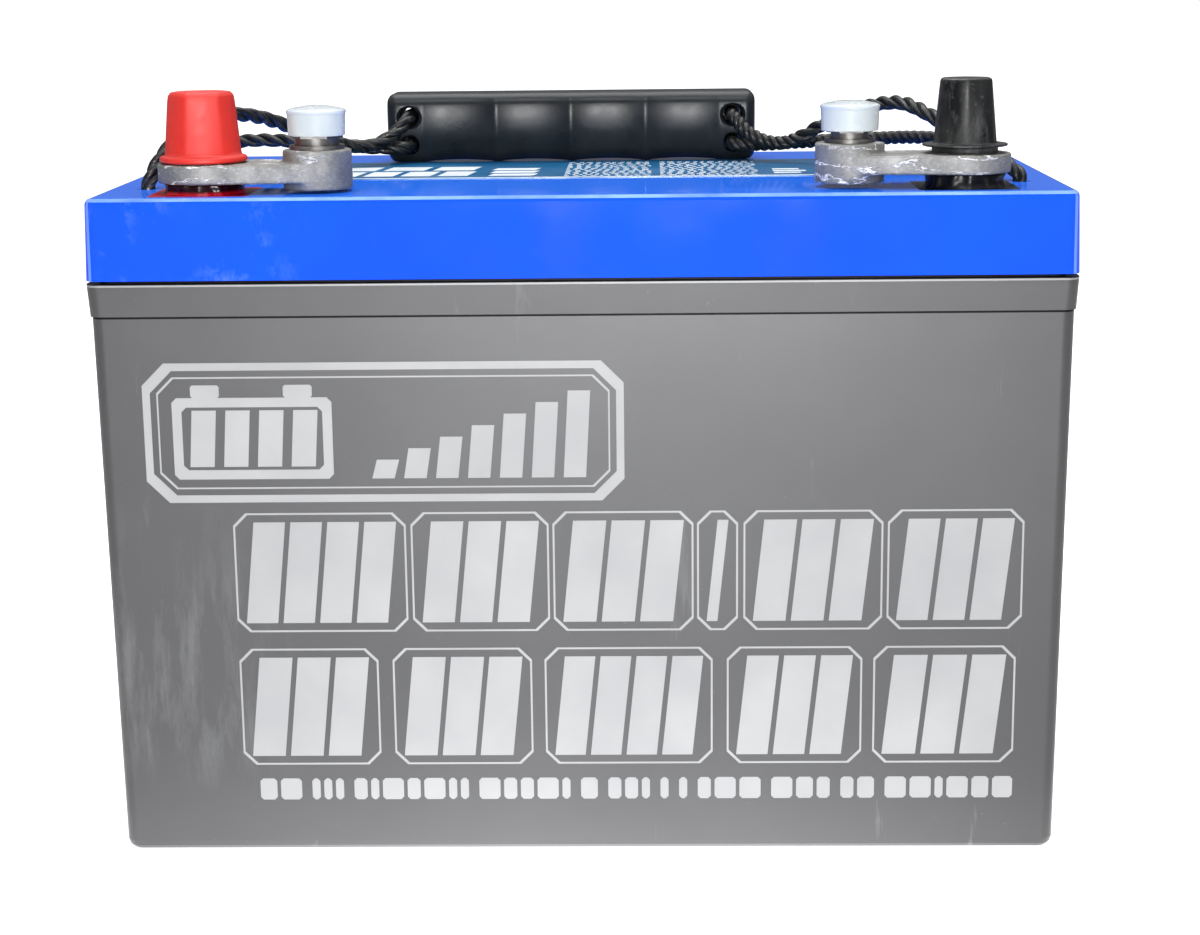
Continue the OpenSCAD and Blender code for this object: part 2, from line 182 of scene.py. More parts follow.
class Shader:
    """A material with a principled shader, and short calls to wire its inputs."""

    def __init__(self, name, colour, roughness=0.5, metallic=0.0):
        self.mat = bpy.data.materials.new(name)
        self.mat.use_nodes = True
        self.tree = self.mat.node_tree
        self.bsdf = self.tree.nodes["Principled BSDF"]
        self.bsdf.inputs["Base Color"].default_value = colour
        self.bsdf.inputs["Roughness"].default_value = roughness
        self.bsdf.inputs["Metallic"].default_value = metallic
        self.coord = self.tree.nodes.new("ShaderNodeTexCoord")
        self.mat.diffuse_color = colour

    def node(self, kind, **settings):
        n = self.tree.nodes.new(kind)
        for key, value in settings.items():
            setattr(n, key, value)
        return n

    def link(self, source, target):
        self.tree.links.new(source, target)

    def set(self, name, value):
        self.bsdf.inputs[name].default_value = value

    def drive(self, name, source):
        self.link(source, self.bsdf.inputs[name])

    def space(self, stretch=(1, 1, 1), turn=(0, 0, 0), source="Object"):
        n = self.node("ShaderNodeMapping")
        n.inputs["Scale"].default_value = stretch
        n.inputs["Rotation"].default_value = [math.radians(a) for a in turn]
        self.link(self.coord.outputs[source], n.inputs["Vector"])
        return n.outputs["Vector"]

    def noise(self, scale, detail=3, stretch=(1, 1, 1), rough=0.5, distortion=0.0, vector=None):
        n = self.node("ShaderNodeTexNoise")
        n.inputs["Scale"].default_value = scale
        n.inputs["Detail"].default_value = detail
        n.inputs["Roughness"].default_value = rough
        n.inputs["Distortion"].default_value = distortion
        self.link(vector or self.space(stretch), n.inputs["Vector"])
        return n.outputs["Fac"]

    def fit(self, value, low, high, to_low=0.0, to_high=1.0):
        n = self.node("ShaderNodeMapRange")
        for key, v in zip(("From Min", "From Max", "To Min", "To Max"), (low, high, to_low, to_high)):
            n.inputs[key].default_value = v
        self.link(value, n.inputs["Value"])
        return n.outputs["Result"]

    def maths(self, operation, a, b=None):
        n = self.node("ShaderNodeMath", operation=operation)
        for slot, v in zip(n.inputs, (a, b)):
            if v is None:
                continue
            if isinstance(v, (int, float)):
                slot.default_value = v
            else:
                self.link(v, slot)
        return n.outputs[0]

    def mix(self, factor, a, b, blend="MIX"):
        n = self.node("ShaderNodeMix", data_type="RGBA", blend_type=blend)
        for slot, v in zip((n.inputs[0], n.inputs[6], n.inputs[7]), (factor, a, b)):
            if hasattr(v, "is_linked"):
                self.link(v, slot)
            else:
                slot.default_value = v
        return n.outputs[2]

    def bump(self, height, distance, strength=1.0, base=None):
        n = self.node("ShaderNodeBump")
        n.inputs["Distance"].default_value = distance
        n.inputs["Strength"].default_value = strength
        self.link(height, n.inputs["Height"])
        if base:
            self.link(base, n.inputs["Normal"])
        return n.outputs["Normal"]

    def band(self, value, low, high):
        """1 where the value lies between low and high."""
        return self.maths("MULTIPLY", self.maths("GREATER_THAN", value, low),
                          self.maths("LESS_THAN", value, high))

    def product(self, *factors):
        result = factors[0]
        for factor in factors[1:]:
            result = self.maths("MULTIPLY", result, factor)
        return result

    def axis(self, which, source="Object"):
        n = self.node("ShaderNodeSeparateXYZ")
        self.link(self.coord.outputs[source], n.inputs[0])
        return n.outputs[which]


def moulded(name, light, dark, rough=(0.3, 0.5), grain=0.00002, grain_size=900, patch=25):
    """Moulded plastic or rubber: soft patches of colour, uneven gloss and a fine grain."""
    s = Shader(name, light)
    s.drive("Base Color", s.mix(s.fit(s.noise(patch, 4), 0.3, 0.7), light, dark))
    s.drive("Roughness", s.fit(s.noise(patch * 3, 5), 0.3, 0.7, *rough))
    s.drive("Normal", s.bump(s.noise(grain_size, 2), grain))
    return s


def case_material():
    light, dark = srgb(62, 62, 64), srgb(54, 54, 56)
    s = Shader("case_grey", light, metallic=0.4)
    x, z = s.axis("X"), s.axis("Z")
    base = s.mix(s.fit(s.noise(9, 5, rough=0.6), 0.3, 0.7), light, dark)
    # Pale scuffs that run up and down, more of them near the foot
    streak = s.fit(s.noise(60, 6, (1, 1, 0.12), rough=0.7), 0.62, 0.78)
    low = s.fit(z, 0.08, 0.0)
    base = s.mix(s.product(streak, s.maths("ADD", 0.12, s.product(low, 0.22))),
                 base, srgb(196, 198, 202))
    rubbed = s.product(s.fit(s.noise(90, 6, (1, 1, 0.16), rough=0.75), 0.47, 0.62),
                       s.fit(x, -0.09, -0.115), s.fit(z, 0.12, 0.07), s.fit(z, 0.02, 0.035))
    base = s.mix(s.product(rubbed, 0.1), base, srgb(176, 178, 182))
    fleck = s.fit(s.noise(420, 3), 0.72, 0.76)
    base = s.mix(s.product(fleck, 0.25), base, srgb(90, 91, 95))
    # Painted shade in the groove under the collar and in the gap under the edge of the lid, painted shade
    # in patches just below the lid, and a painted highlight along the collar's top edge
    gap_low = LID_BOTTOM - 1.25 * MM
    # Painted shade: the gap between the lid and the collar, near black
    gap = s.maths("GREATER_THAN", z, gap_low)
    # Painted shade: the groove under the collar's lower edge
    collar_shadow = s.band(z, COLLAR_LOW - 0.68 * MM, COLLAR_LOW + 0.05 * MM)
    painted_shade = s.maths("MAXIMUM", collar_shadow, gap)
    # Painted highlight: a pale line along the collar's top edge, just below the painted shade in the gap
    collar_edge_highlight = s.band(z, gap_low - 0.6 * MM, gap_low)
    # Painted shade in patches, growing darker towards the lid's lower edge
    smear_and_shade = s.product(s.fit(z, LID_BOTTOM - 4 * MM, LID_BOTTOM - 1.2 * MM),
                      s.fit(s.noise(40, 5, (0.4, 0.4, 2)), 0.42, 0.62))
    base = s.mix(s.product(smear_and_shade, 0.3), base, srgb(30, 30, 30))
    base = s.mix(s.product(collar_edge_highlight, 0.36), base, srgb(196, 197, 200))
    # Painted shade: the groove and the lid gap made near black
    base = s.mix(s.product(painted_shade, 0.92), base, srgb(12, 12, 14))
    s.drive("Base Color", base)
    s.drive("Roughness", s.fit(s.noise(30, 5), 0.3, 0.7, 0.34, 0.39))
    # Little gloss where the shade is painted, so it stays dark
    s.drive("Specular IOR Level", s.fit(painted_shade, 0, 1, 1.0, 0.1))
    fine = s.bump(s.noise(1500, 2), 0.00002, 0.6)
    s.drive("Normal", s.bump(s.noise(14, 3), 0.0006, 0.25, fine))
    return s.mat


def lid_material():
    light, dark = srgb(9, 73, 234), srgb(7, 63, 221)
    s = Shader("lid_blue", light)
    z = s.axis("Z")
    base = s.mix(s.fit(s.noise(11, 4), 0.3, 0.7), light, dark)
    scuff = s.fit(s.noise(70, 6, (1, 1, 0.2), rough=0.75), 0.6, 0.82)
    patch = s.fit(s.noise(13, 2), 0.5, 0.68)
    base = s.mix(s.product(scuff, patch, 0.35), base, srgb(120, 160, 255))
    # Painted light: the lid's top face made lighter and greener than its sides, as if lit from above
    top = s.maths("GREATER_THAN", z, LID_TOP - 0.1 * MM)
    top = s.product(top, s.fit(s.noise(9, 4), 0.3, 0.7, 0.75, 1.0))
    base = s.mix(top, base, srgb(48, 124, 255))
    # Rubbed pale in patches near one front corner; a painted highlight all along the top edge and a
    # painted highlight up each front corner
    streak = s.product(s.fit(s.noise(90, 6, (0.7, 1, 0.5), rough=0.75), 0.5, 0.68),
                       s.fit(s.noise(30, 2), 0.42, 0.56),
                       s.fit(s.axis("X"), -0.075, -0.11), s.fit(s.axis("Y"), -0.07, -0.08))
    # Painted highlight along the rounded top edge
    edge = s.product(s.band(z, LID_TOP - 0.9 * MM, LID_TOP - 0.03 * MM),
                     s.fit(s.noise(50, 4), 0.3, 0.6, 0.4, 1.0))
    # Painted highlight up each rounded front corner
    corner = s.product(s.band(s.maths("ABSOLUTE", s.axis("X")), LID_END - 2.4 * MM, LID_END - 1.4 * MM),
                       s.maths("LESS_THAN", s.axis("Y"), LID_FRONT + 4 * MM))
    # Real rubbed wear, together with the painted highlights on the edge and corners
    wear_and_highlight = s.maths("MAXIMUM", s.product(streak, 0.22), s.product(edge, 0.65))
    wear_and_highlight = s.maths("MAXIMUM", wear_and_highlight, s.product(corner, 0.35))
    s.drive("Base Color", s.mix(wear_and_highlight, base, srgb(140, 178, 255)))
    s.drive("Roughness", s.fit(s.noise(45, 5), 0.3, 0.7, 0.04, 0.1))
    s.set("Specular IOR Level", 0.28)
    s.drive("Normal", s.bump(s.noise(18, 2), 0.0004, 0.25))
    return s.mat


def label_material():
    light, dark = srgb(19, 93, 138), srgb(12, 79, 124)
    s = Shader("label_teal", light)
    s.drive("Base Color", s.mix(s.fit(s.noise(25, 4), 0.3, 0.7), light, dark))
    s.drive("Roughness", s.fit(s.noise(60, 4), 0.3, 0.7, 0.26, 0.4))
    s.drive("Normal", s.bump(s.noise(60, 3), 0.0002, 0.3))
    return s.mat


def ink_material(name, colour, worn):
    """Screen-printed ink with worn specks."""
    s = Shader(name, colour)
    speck = s.fit(s.noise(700, 4, rough=0.7), 0.66, 0.74)
    tone = s.mix(s.fit(s.noise(30, 4), 0.3, 0.7), colour, worn)
    s.drive("Base Color", s.mix(s.product(speck, 0.5), tone, srgb(150, 152, 156)))
    s.drive("Roughness", s.fit(s.noise(90, 4), 0.3, 0.7, 0.38, 0.55))
    s.drive("Normal", s.bump(s.noise(900, 2), 0.00002, 0.5))
    return s.mat


def lead_material():
    """Cast lead: dull and grainy, with bright creases where the metal folded as it set."""
    s = Shader("cast_lead", srgb(150, 152, 156), metallic=0.55)
    tone = s.mix(s.fit(s.noise(90, 6, rough=0.65), 0.3, 0.7), srgb(98, 98, 97), srgb(133, 133, 131))
    grain = s.noise(900, 4, (1, 1, 2), rough=0.6)
    tone = s.mix(s.maths("MULTIPLY", s.fit(grain, 0.5, 0.75), 0.35), tone, srgb(185, 185, 184))
    flow = s.noise(48, 8, (0.3, 0.8, 1.7), rough=0.66)
    crease = s.fit(s.maths("ABSOLUTE", s.maths("SUBTRACT", flow, 0.5)), 0.013, 0.004)
    crease = s.maths("MULTIPLY", crease, s.fit(s.noise(40, 3, rough=0.5), 0.4, 0.5))
    s.drive("Base Color", s.mix(crease, tone, srgb(235, 235, 234)))
    s.drive("Roughness", s.fit(s.noise(160, 5), 0.3, 0.7, 0.5, 0.68))
    pits = s.bump(s.noise(700, 5, rough=0.6), 0.00014, 0.8)
    s.drive("Normal", s.bump(crease, 0.0003, 0.8, pits))
    return s.mat


def steel_material():
    s = Shader("zinc_steel", srgb(150, 150, 152), 0.4, 0.9)
    s.drive("Base Color", s.mix(s.fit(s.noise(200, 4), 0.3, 0.7), srgb(124, 122, 120), srgb(76, 74, 72)))
    s.drive("Roughness", s.fit(s.noise(500, 4, (1, 1, 6)), 0.3, 0.7, 0.34, 0.54))
    s.drive("Normal", s.bump(s.noise(700, 3, (1, 1, 8)), 0.00005, 0.8))
    return s.mat


def epoxy_material(name, pool, column):
    """Potting resin: glossy and rippled, brighter in the thin pool than in the tall column."""
    s = Shader(name, pool)
    rise = s.fit(s.axis("Z"), LID_TOP + 0.0002, LID_TOP + 0.0012)
    cloud = s.fit(s.noise(140, 3), 0.35, 0.65, 0.0, 0.4)
    s.drive("Base Color", s.mix(cloud, s.mix(rise, pool, column), srgb(8, 0, 3)))
    s.drive("Roughness", s.fit(s.noise(120, 4), 0.3, 0.7, 0.22, 0.4))
    s.set("Specular IOR Level", 0.22)
    s.drive("Normal", s.bump(s.noise(160, 3), 0.0005, 0.6))
    return s.mat


def red_cap_material():
    s = moulded("red_vinyl", srgb(189, 35, 26), srgb(176, 27, 19), (0.44, 0.6), 0.00003, 700, 60)
    s.set("Subsurface Weight", 0.25)
    s.set("Subsurface Radius", (0.004, 0.001, 0.0008))
    s.set("Subsurface Scale", 0.5)
    return s.mat


def black_cap_material():
    """Dusty black vinyl: pale smears that run up and down over a dark base."""
    s = Shader("black_vinyl", srgb(26, 27, 29))
    smear_and_shade = s.fit(s.noise(95, 6, (1, 1, 0.3), rough=0.72), 0.5, 0.66)
    speck = s.fit(s.noise(800, 4), 0.6, 0.72)
    dust = s.maths("MAXIMUM", s.product(smear_and_shade, 0.75), s.product(speck, 0.5))
    s.drive("Base Color", s.mix(dust, srgb(9, 10, 11), srgb(68, 69, 71)))
    s.drive("Roughness", s.fit(s.noise(160, 5, (1, 1, 0.4)), 0.35, 0.65, 0.26, 0.62))
    s.set("Specular IOR Level", 0.4)
    s.drive("Normal", s.bump(s.noise(420, 4), 0.0001, 0.7))
    return s.mat


def clear_cap_material():
    """Milky vinyl: cloudy, with light that spreads inside it."""
    s = Shader("milky_vinyl", srgb(205, 218, 238))
    s.drive("Base Color", s.mix(s.fit(s.noise(90, 2), 0.3, 0.7), srgb(178, 185, 186), srgb(169, 177, 182)))
    s.drive("Roughness", s.fit(s.noise(120, 3), 0.3, 0.7, 0.2, 0.3))
    s.set("Subsurface Weight", 0.5)
    s.set("Subsurface Radius", (0.002, 0.002, 0.003))
    s.set("Subsurface Scale", 1.0)
    s.set("IOR", 1.46)
    s.drive("Normal", s.bump(s.noise(90, 2), 0.00006, 0.5))
    return s.mat


def grip_material():
    s = Shader("grip_rubber", srgb(27, 31, 35))
    s.drive("Base Color", s.mix(s.fit(s.noise(90, 5), 0.3, 0.7), srgb(15, 19, 22), srgb(25, 29, 32)))
    s.drive("Roughness", s.fit(s.noise(180, 5), 0.3, 0.7, 0.27, 0.36))
    s.set("Specular IOR Level", 0.22)
    s.drive("Normal", s.bump(s.noise(1100, 3), 0.00003, 0.6))
    return s.mat


def rope_material():
    """Twisted plastic yarn: shiny fibres that run along each strand."""
    s = Shader("rope_fibre", srgb(14, 15, 16))
    fibre = s.noise(1.0, 3, rough=0.6, vector=s.space((10, 16, 1), source="UV"))
    coarse = s.noise(1.0, 2, vector=s.space((3, 40, 1), source="UV"))
    tone = s.mix(s.fit(fibre, 0.5, 0.68), srgb(9, 10, 11), srgb(70, 71, 73))
    s.drive("Base Color", s.mix(s.fit(coarse, 0.4, 0.6), srgb(8, 9, 10), tone))
    s.drive("Roughness", s.fit(fibre, 0.35, 0.65, 0.55, 0.24))
    s.set("Specular IOR Level", 0.35)
    s.drive("Normal", s.bump(fibre, 0.0004, 0.8))
    return s.mat


MATERIALS = {
    "case_plastic": case_material(),
    "lid_plastic": lid_material(),
    "label_film": label_material(),
    "label_print": ink_material("print_ink", srgb(146, 147, 148), srgb(135, 136, 138)),
    "label_ink": ink_material("label_ink", srgb(205, 210, 214), srgb(190, 197, 203)),
    "valve_rubber": moulded("valve_rubber", srgb(34, 34, 36), srgb(26, 26, 28), (0.5, 0.7)).mat,
    "lead": lead_material(),
    "steel": steel_material(),
    "red_epoxy": epoxy_material("red_epoxy", srgb(168, 6, 24), srgb(28, 1, 6)),
    "black_epoxy": epoxy_material("black_epoxy", srgb(12, 13, 18), srgb(8, 9, 13)),
    "clear_vinyl": clear_cap_material(),
    "red_vinyl": red_cap_material(),
    "black_vinyl": black_cap_material(),
    "grip_rubber": grip_material(),
    "rope_fibre": rope_material(),
    "positive_paste": moulded(
        "positive_paste", srgb(112, 74, 56), srgb(84, 52, 40), (0.7, 0.9), 0.0001).mat,
    "negative_paste": moulded(
        "negative_paste", srgb(140, 144, 150), srgb(112, 116, 122), (0.6, 0.8), 0.0001).mat,
    "glass_mat": moulded(
        "glass_mat", srgb(240, 240, 234), srgb(222, 222, 214), (0.8, 0.95), 0.0001, 600).mat,
}


# Rope handle -----------------------------------------------------------------------------

# Millimetres, with heights from the lid's top face: out of the upper hole in the grip, over to the
# lid's front hole, along the tunnel, up through its rear hole and back to the grip's lower hole
ROPE_LEFT = [
    (-64, 59.4, 16.4), (-64, 43.5, 16.4), (-64.1, 39.9, 16.2),
    (-65.4, 37.4, 14.8), (-67.4, 35.2, 12.4), (-71, 32.6, 9.6), (-76, 29.6, 7.5),
    (-82, 24.8, 7.6), (-88.5, 17, 9.6), (-95, 8.5, 13), (-102, -0.5, 16.8), (-109, -9.5, 20),
    (-116, -19, 21.6), (-122.5, -28, 20.8), (-128, -35.6, 18), (-132, -41, 14), (-135.2, -45, 9.6),
    (-137.6, -47.8, 5), (-139, -49, 0.5), (-139.2, -49, -4), (-139.2, -46.5, -10.5),
    (-139.2, -39.5, -14.6), (-139.2, -29, -15.5), (-139.2, 29, -15.5),
    (-139.2, 39.5, -14.6), (-139.2, 46.5, -10.5), (-139.2, 49, -4), (-139, 49, 1.5), (-136, 49, 6),
    (-120, 48, 8.4), (-99, 43.6, 7.6), (-88.5, 40.6, 6.8),
    (-80, 38.4, 6.3), (-75, 37, 6.1), (-71, 36.3, 6.1), (-67.6, 36.4, 6.1), (-65.2, 37.8, 6.3),
    (-64.1, 40.4, 6.4), (-64, 59.4, 6.4)]
ROPE_RIGHT = [
    (51, 59.4, 16.4), (51, 43.5, 16.4), (51.1, 39.9, 16.2), (52.4, 37.4, 14.8),
    (54.4, 35.2, 12.2), (58, 32.8, 9.4), (63, 30.8, 7.4), (69, 28.6, 7.2), (75.5, 25, 10),
    (81, 21, 13.6), (87, 16, 16.8), (93.5, 10, 19.8), (100, 3, 21.9), (106.5, -5, 22.3),
    (113, -14, 19.6), (119, -22, 15.6), (125, -31, 10.8), (131, -39, 7),
    (136, -45.4, 4.8), (138.7, -48.5, 1.9), (139.2, -49, -1), (139.2, -49, -5),
    (139.2, -46.5, -10.5), (139.2, -39.5, -14.6), (139.2, -29, -15.5),
    (139.2, 29, -15.5), (139.2, 39.5, -14.6), (139.2, 46.5, -10.5), (139.2, 49, -4),
    (139, 49, 1.5), (136, 49, 5), (118, 48, 7.2), (94, 43.4, 7),
    (73, 39.4, 6.5), (67, 38, 6.2), (62.5, 36.9, 6.1), (58.5, 36.3, 6.1),
    (54.6, 36.4, 6.1), (52.2, 37.8, 6.3), (51.1, 40.4, 6.4), (51, 59.4, 6.4)]
KNOT_X = {"left": -64, "right": 51}   # the rope holes near the grip's ends, and the knots behind them
HOLE_LOW, HOLE_HIGH = 6.4, 16.4       # heights of the two holes at each end
ROPE_D = 5.0
LONG_LAY = 19.0   # length of one turn of the strands
TIGHT_LAY = 8.5   # where the rope is twisted up harder
KNOT_LAY = 14.0


def to_world(point):
    return Vector((point[0] * MM, point[1] * MM, LID_TOP + point[2] * MM))


def smooth_path(points, step):
    """Evenly spaced points on a Catmull-Rom curve through the points."""
    fine = []
    ends = [points[0] * 2 - points[1], *points, points[-1] * 2 - points[-2]]
    for a, b, c, d in zip(ends, ends[1:], ends[2:], ends[3:]):
        for k in range(24):
            t = k / 24
            fine.append(0.5 * (2 * b + (c - a) * t + (2 * a - 5 * b + 4 * c - d) * t ** 2
                               + (3 * b - a - 3 * c + d) * t ** 3))
    fine.append(points[-1].copy())
    path, left = [fine[0]], step
    for a, b in zip(fine, fine[1:]):
        gap = (b - a).length
        while gap >= left:
            a = a + (b - a) * (left / gap)
            path.append(a)
            gap -= left
            left = step
        left -= gap
    path.append(fine[-1])
    return path


def headings(path):
    last = len(path) - 1
    return [(path[min(i + 1, last)] - path[max(i - 1, 0)]).normalized() for i in range(last + 1)]


def carried_normals(tangents):
    n = tangents[0].orthogonal().normalized()
    result = []
    for t in tangents:
        n = (n - n.dot(t) * t).normalized()
        result.append(n)
    return result


def twisted_rope(name, path, lay_of, diameter, strands=3, sides=12):
    """One mesh of strands laid round the path; lay_of gives the length of a turn at each point."""
    tangents = headings(path)
    normals = carried_normals(tangents)
    strand_r = diameter * 0.25
    helix_r = diameter / 2 - strand_r
    uv_scale, uv_shift, uv_twist = 10, 7.3, 0.35   # per metre, per strand, and across for each one along
    verts, faces, uvs = [], [], []
    turns = [0.0]
    for a, b in zip(path, path[1:]):
        turns.append(turns[-1] + (b - a).length / (lay_of(b) * MM))
    for s in range(strands):
        centres, outs = [], []
        for p, t, n, turn in zip(path, tangents, normals, turns):
            angle = 2 * math.pi * (turn + s / strands)
            out = n * math.cos(angle) + t.cross(n) * math.sin(angle)
            outs.append(out)
            centres.append(p + out * (helix_r * MM))
        along = headings(centres)
        start = len(verts)
        for c, out, t in zip(centres, outs, along):
            out = (out - out.dot(t) * t).normalized()
            side = t.cross(out)
            for k in range(sides):
                a = 2 * math.pi * k / sides
                verts.append(c + (out * math.cos(a) + side * math.sin(a)) * (strand_r * MM))
        length = 0.0
        for i in range(len(centres) - 1):
            step = (centres[i + 1] - centres[i]).length
            for k in range(sides):
                n = (k + 1) % sides
                a, b = start + i * sides, start + (i + 1) * sides
                faces.append((a + k, a + n, b + n, b + k))
                u0, u1 = k / sides, (k + 1) / sides
                v0 = length * uv_scale + s * uv_shift
                v1 = (length + step) * uv_scale + s * uv_shift
                uvs += [(u0 + v0 * uv_twist, v0), (u1 + v0 * uv_twist, v0),
                        (u1 + v1 * uv_twist, v1), (u0 + v1 * uv_twist, v1)]
            length += step
        for ring in (start, start + (len(centres) - 1) * sides):
            faces.append(tuple(ring + k for k in range(sides)))
            uvs += [(0, 0)] * sides
    return new_object(name, verts, faces, True, uvs)


def build_rope(side, route, lay_of):
    path = smooth_path([to_world(p) for p in route], 0.6 * MM)
    rope = twisted_rope(f"rope_{side}_strands", path, lay_of, ROPE_D)
    rope.data.materials.append(MATERIALS["rope_fibre"])
    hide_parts(f"rope_{side}")
    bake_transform(rope)


def lay_left(_):
    return LONG_LAY


def lay_right(p):
    """The rear leg, and the part by the grip, are twisted up hard."""
    return TIGHT_LAY if p.y > 26 * MM else LONG_LAY


build_rope("left", ROPE_LEFT, lay_left)
build_rope("right", ROPE_RIGHT, lay_right)


def build_knot(side, x):
    """The rope wound three times round itself behind the grip."""
    half_thick = 5.5
    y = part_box(f"rope_knot_{side}")[0].y / MM + half_thick
    points = []
    wraps, per_turn, radius, spill = 3.1, 16, 2.9, 2.2
    total = int(wraps * per_turn)
    for i in range(total + 1):
        t = i / total
        a = -math.pi / 2 + 2 * math.pi * wraps * t
        z = HOLE_HIGH + spill - (HOLE_HIGH - HOLE_LOW + 2 * spill) * t
        points.append(to_world((x + radius * math.cos(a), y + radius * math.sin(a), z)))
    path = smooth_path(points, 0.7 * MM)
    knot = twisted_rope(f"rope_knot_{side}_wraps", path, lambda p: KNOT_LAY, ROPE_D, sides=10)
    finish_piece(knot, "handle", MATERIALS["rope_fibre"], "rope_fibre", f"rope_knot_{side}")


for side, x in KNOT_X.items():
    build_knot(side, x)


# Carrying grip ---------------------------------------------------------------------------

GRIP_LOW, GRIP_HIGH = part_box("handle_grip")
FINGERS = 4
END_BLOCK = 12.3     # flat length at each end, with the rope holes
SCOOP = 1.3          # depth of the finger hollows
CREST = 0.6          # half width over which the crest between two hollows is rounded
BELLY = 8.5          # the front face stands out furthest this far below the top
CURVE = 0.016        # how fast it falls back above and below that
FULLNESS = 2.2       # power of the hollows' shape: 2 is a parabola, more is fuller


def scoop_at(x, length):
    """Depth of the finger hollow at x, from 0 at a crest to 1 in the middle of a hollow."""
    span = (length - 2 * END_BLOCK) / FINGERS
    u = x - END_BLOCK
    if u <= 0 or u >= span * FINGERS:
        return 0.0
    f = u % span
    edge = min(f, span - f)
    if edge < CREST:
        edge = CREST / 2 + edge ** 2 / (2 * CREST)
    low = 1 - (1 - CREST / span) ** FULLNESS
    return (1 - abs(1 - 2 * edge / span) ** FULLNESS - low) / (1 - low)


def grip_section(scoop, inset, depth, height):
    """Outline in (y, z) mm of the grip at one place along it."""
    front, back = inset + SCOOP * scoop, depth - inset
    low, high = inset + 0.6 * scoop, height - inset
    corners = [
        (front, low, 3.2 + 1.2 * scoop, 180), (back, low, 3.0, 270),
        (back, high, 3.0, 0), (front, high, 4.2, 90)]
    outline = []
    for y, z, r, a0 in corners:
        r = max(0.3, min(r - inset * 0.9, (back - front) / 2 - 0.1, (high - low) / 2 - 0.1))
        cy = y + r if y == front else y - r
        cz = z + r if z == low else z - r
        for k in range(15):
            a = math.radians(a0 + 90 * k / 14)
            outline.append((cy + r * math.cos(a), cz + r * math.sin(a)))
    # More points up the front face, then its gentle curve
    top, foot = outline[-1], outline[0]
    outline += [(foot[0], top[1] + (foot[1] - top[1]) * k / 15) for k in range(1, 15)]
    middle = (front + back) / 2
    belly = height - BELLY
    return [(y + CURVE * (z - belly) ** 2 * (middle - y) / (middle - front) if y < middle else y, z)
            for y, z in outline]


def build_grip():
    low, high = GRIP_LOW / MM, GRIP_HIGH / MM
    length, depth, height = high - low
    end_round = 3.2
    arc = [math.radians(15 * k) for k in range(7)]
    ends = [(end_round * (1 - math.cos(a)), end_round * (1 - math.sin(a))) for a in arc]
    rings = list(ends)
    step = 0.6
    x = end_round + step
    while x < length - end_round - step / 2:
        rings.append((x, 0.0))
        x += step
    rings += [(length - x, inset) for x, inset in reversed(ends)]
    verts, faces = [], []
    count = len(grip_section(0, 0, depth, height))
    for x, inset in rings:
        for y, z in grip_section(scoop_at(x, length), inset, depth, height):
            verts.append(Vector((low.x + x, low.y + y, low.z + z)) * MM)
    for i in range(len(rings) - 1):
        for k in range(count):
            n = (k + 1) % count
            a, b = i * count, (i + 1) * count
            faces.append((a + k, a + n, b + n, b + k))
    faces.append(tuple(range(count)))
    faces.append(tuple((len(rings) - 1) * count + k for k in range(count)))
    grip = new_object("grip_raw", verts, faces)
    cutters = []
    for x in KNOT_X.values():
        for z in (HOLE_LOW, HOLE_HIGH):
            profile = [(0, -2), (4.6, -2), (4.6, -0.01), (4.1, 0.35), (3.6, 0.9), (3.35, 1.6),
                       (3.35, depth - 1.6), (3.6, depth - 0.9), (4.1, depth - 0.35),
                       (4.6, depth + 0.01), (4.6, depth + 2), (0, depth + 2)]
            v, f = lathe(profile, 32, (0, 0, 0))
            cutter = new_object(f"hole_{x}_{z}", v, f)
            turn = Matrix.Rotation(math.radians(-90), 4, "X")
            cutter.matrix_world = Matrix.Translation((x * MM, low.y * MM, LID_TOP + z * MM)) @ turn
            cut = grip.modifiers.new("hole", "BOOLEAN")
            cut.operation, cut.object, cut.solver = "DIFFERENCE", cutter, "EXACT"
            cutters.append(cutter)
    grip = baked(grip, "grip_moulded")
    for cutter in cutters:
        bpy.data.objects.remove(cutter)
    shade_smooth(grip, 42)
    finish_piece(grip, "handle", MATERIALS["grip_rubber"], "grip_rubber", "handle_grip")


build_grip()


# Terminals -------------------------------------------------------------------------------

def cast_lug(pole):
    """The lead casting: edges rounded by remeshing, then a slightly uneven surface."""
    lug = copy_of(f"{pole}_lug", f"{pole}_lug_raw")
    remesh = lug.modifiers.new("even", "REMESH")
    remesh.mode, remesh.voxel_size = "VOXEL", 0.0005
    smooth = lug.modifiers.new("soften", "SMOOTH")
    smooth.factor, smooth.iterations = 0.6, 4
    lug = baked(lug, f"{pole}_lug_cast")
    mesh = lug.data
    bumps = []
    for v in mesh.vertices:
        p = v.co * 180
        rough = 0.11 * noise.noise(p) + 0.05 * noise.noise(p * 3.1)
        flow = noise.noise(Vector((v.co.x * 45, v.co.y * 60, v.co.z * 170)))
        fold = max(0.0, 1 - abs(flow) * 14) * max(0.0, noise.noise(v.co * 60) + 0.15)
        bumps.append(v.co + v.normal * ((rough + 0.35 * fold - 0.1) * MM))
    for v, co in zip(mesh.vertices, bumps):
        v.co = co
    mesh.shade_smooth()
    finish_piece(lug, "battery", MATERIALS["lead"], "lead", f"{pole}_lug")


